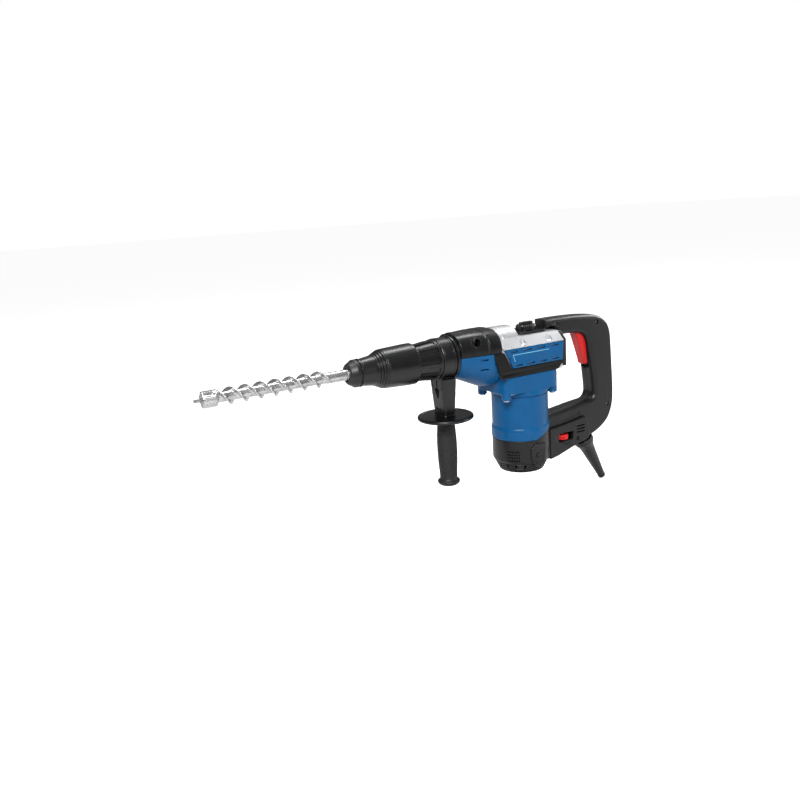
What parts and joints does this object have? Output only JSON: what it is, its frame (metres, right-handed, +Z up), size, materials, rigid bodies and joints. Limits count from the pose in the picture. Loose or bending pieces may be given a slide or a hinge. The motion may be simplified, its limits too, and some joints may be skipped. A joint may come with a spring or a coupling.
{
  "type": "electric rotary hammer",
  "caption": "Corded rotary and demolition hammer, L-shaped, with a spiral masonry bit, D-handle and swivelling side handle",
  "frame": {"origin": "centre of the motor end cap's flat base, under the motor axis", "axes": "+X towards the rear D-handle, the bit points to -X; +Z up, from the motor to the gearbox; +Y to the side away from the speed wheel"},
  "size_m": [0.7165, 0.0944, 0.3006],
  "materials": {
    "blue_plastic": "satin",
    "black_plastic": "satin",
    "grey_plastic": "matt",
    "soft_grip": "matt",
    "trim_plastic": "satin",
    "red_plastic": "satin",
    "rubber": "matt",
    "aluminium": "satin",
    "bright_steel": "satin",
    "dark_steel": "satin",
    "carbide": "satin",
    "copper": "satin",
    "carbon": "matt",
    "circuit": "matt"
  },
  "bodies": {
    "housing": {"shaft_bearings": "bright_steel", "stator_core": "dark_steel", "field_coils": "copper", "brush_holders": "copper", "carbon_brushes": "carbon", "gearbox_housing": "aluminium", "front_cover": "black_plastic", "nose_shell": "blue_plastic", "motor_housing": "blue_plastic", "bearing_plate": "aluminium", "left_side_panel": "blue_plastic", "right_side_panel": "blue_plastic", "left_trim_band": "trim_plastic", "right_trim_band": "trim_plastic", "neck_sleeve": "black_plastic", "neck_bearing": "bright_steel", "motor_end_cap": "grey_plastic", "brush_covers": "grey_plastic", "rear_plate": "black_plastic", "rear_plug": "black_plastic", "selector_plate": "black_plastic", "housing_screws": "bright_steel", "handle_left_shell": "grey_plastic", "handle_right_shell": "grey_plastic", "handle_soft_grip": "soft_grip", "switch_module": "black_plastic", "electronics_module": "circuit", "cord_boot": "rubber"},
    "spindle": {"tool_holder": "dark_steel", "dust_cap": "rubber", "sleeve_spring": "bright_steel", "hammer_tube": "bright_steel", "ring_gear": "dark_steel"},
    "upper_locking_bar": {"upper_locking_bar": "bright_steel"},
    "lower_locking_bar": {"lower_locking_bar": "bright_steel"},
    "locking_sleeve": {"locking_sleeve": "black_plastic"},
    "drill_bit": {"drill_bit": "bright_steel", "carbide_tips": "carbide"},
    "impact_bolt": {"impact_bolt": "bright_steel"},
    "striker": {"striker": "bright_steel"},
    "piston": {"piston": "aluminium", "piston_seal": "rubber", "wrist_pin": "bright_steel"},
    "con_rod": {"con_rod": "aluminium", "crank_pin": "bright_steel"},
    "crank_gear": {"crank_gear": "dark_steel"},
    "intermediate_shaft": {"pinion_shaft": "bright_steel", "intermediate_gear": "dark_steel"},
    "armature": {"armature_shaft": "bright_steel", "armature_core": "copper", "commutator": "copper", "cooling_fan": "black_plastic"},
    "mode_selector": {"mode_selector": "black_plastic"},
    "trigger": {"trigger": "red_plastic"},
    "speed_wheel": {"speed_wheel": "red_plastic"},
    "side_handle": {"clamp_band": "black_plastic", "handle_bracket": "black_plastic", "clamp_bolt": "bright_steel", "hand_guard": "black_plastic"},
    "side_grip": {"side_grip": "soft_grip"}
  },
  "joints": [
    {"name": "armature_spin", "type": "hinge", "parent": "housing", "child": "armature", "pos_m": [0, 0, 0.203], "axis": [0, 0, 1], "continuous": true},
    {"name": "crank_spin", "type": "hinge", "parent": "housing", "child": "crank_gear", "pos_m": [0.025, 0, 0.203], "axis": [0, 0, 1], "continuous": true},
    {"name": "intermediate_spin", "type": "hinge", "parent": "housing", "child": "intermediate_shaft", "pos_m": [-0.028, 0, 0.203], "axis": [0, 0, 1], "continuous": true},
    {"name": "spindle_spin", "type": "hinge", "parent": "housing", "child": "spindle", "pos_m": [0, 0, 0.203], "axis": [1, 0, 0], "continuous": true},
    {"name": "piston_slide", "type": "slide", "parent": "housing", "child": "piston", "axis": [1, 0, 0], "range_m": [0, 0.028]},
    {"name": "con_rod_swing", "type": "hinge", "parent": "piston", "child": "con_rod", "pos_m": [-0.045, 0, 0.203], "axis": [0, 0, 1], "range_deg": [-14.4, 14.4]},
    {"name": "striker_slide", "type": "slide", "parent": "spindle", "child": "striker", "axis": [1, 0, 0], "range_m": [-0.026, 0.014]},
    {"name": "impact_bolt_slide", "type": "slide", "parent": "spindle", "child": "impact_bolt", "axis": [-1, 0, 0], "range_m": [0, 0.012]},
    {"name": "bit_slide", "type": "slide", "parent": "spindle", "child": "drill_bit", "axis": [-1, 0, 0], "range_m": [0, 0.02]},
    {"name": "locking_sleeve_pull", "type": "slide", "parent": "spindle", "child": "locking_sleeve", "axis": [1, 0, 0], "range_m": [0, 0.01], "stiffness_N_per_m": 1500, "springref_m": -0.006},
    {"name": "upper_bar_release", "type": "slide", "parent": "spindle", "child": "upper_locking_bar", "axis": [0, 0, 1], "range_m": [0, 0.0017]},
    {"name": "lower_bar_release", "type": "slide", "parent": "spindle", "child": "lower_locking_bar", "axis": [0, 0, -1], "range_m": [0, 0.0017]},
    {"name": "mode_select", "type": "hinge", "parent": "housing", "child": "mode_selector", "pos_m": [0.017, 0, 0.23], "axis": [0, 0, 1], "range_deg": [-90, 90]},
    {"name": "trigger_pull", "type": "hinge", "parent": "housing", "child": "trigger", "pos_m": [0.133, 0, 0.206], "axis": [0, -1, 0], "range_deg": [0, 6], "stiffness_Nm_per_rad": 2.5, "springref_deg": -8.59},
    {"name": "speed_wheel_turn", "type": "hinge", "parent": "housing", "child": "speed_wheel", "pos_m": [0.075, -0.015, 0.039], "axis": [0, 0, 1], "range_deg": [0, 300]},
    {"name": "side_handle_swivel", "type": "hinge", "parent": "housing", "child": "side_handle", "pos_m": [-0.1434, 0, 0.203], "axis": [1, 0, 0], "continuous": true},
    {"name": "side_grip_twist", "type": "hinge", "parent": "side_handle", "child": "side_grip", "pos_m": [-0.1434, 0, 0.06], "axis": [0, 0, 1], "continuous": true}
  ],
  "couplings": [
    {"joint": "crank_spin", "follows": "armature_spin", "ratio": -0.19048},
    {"joint": "intermediate_spin", "follows": "armature_spin", "ratio": -0.16667},
    {"joint": "spindle_spin", "follows": "armature_spin", "ratio": 0.027778},
    {"joint": "upper_bar_release", "follows": "locking_sleeve_pull", "ratio": 0.17},
    {"joint": "lower_bar_release", "follows": "locking_sleeve_pull", "ratio": 0.17}
  ]
}
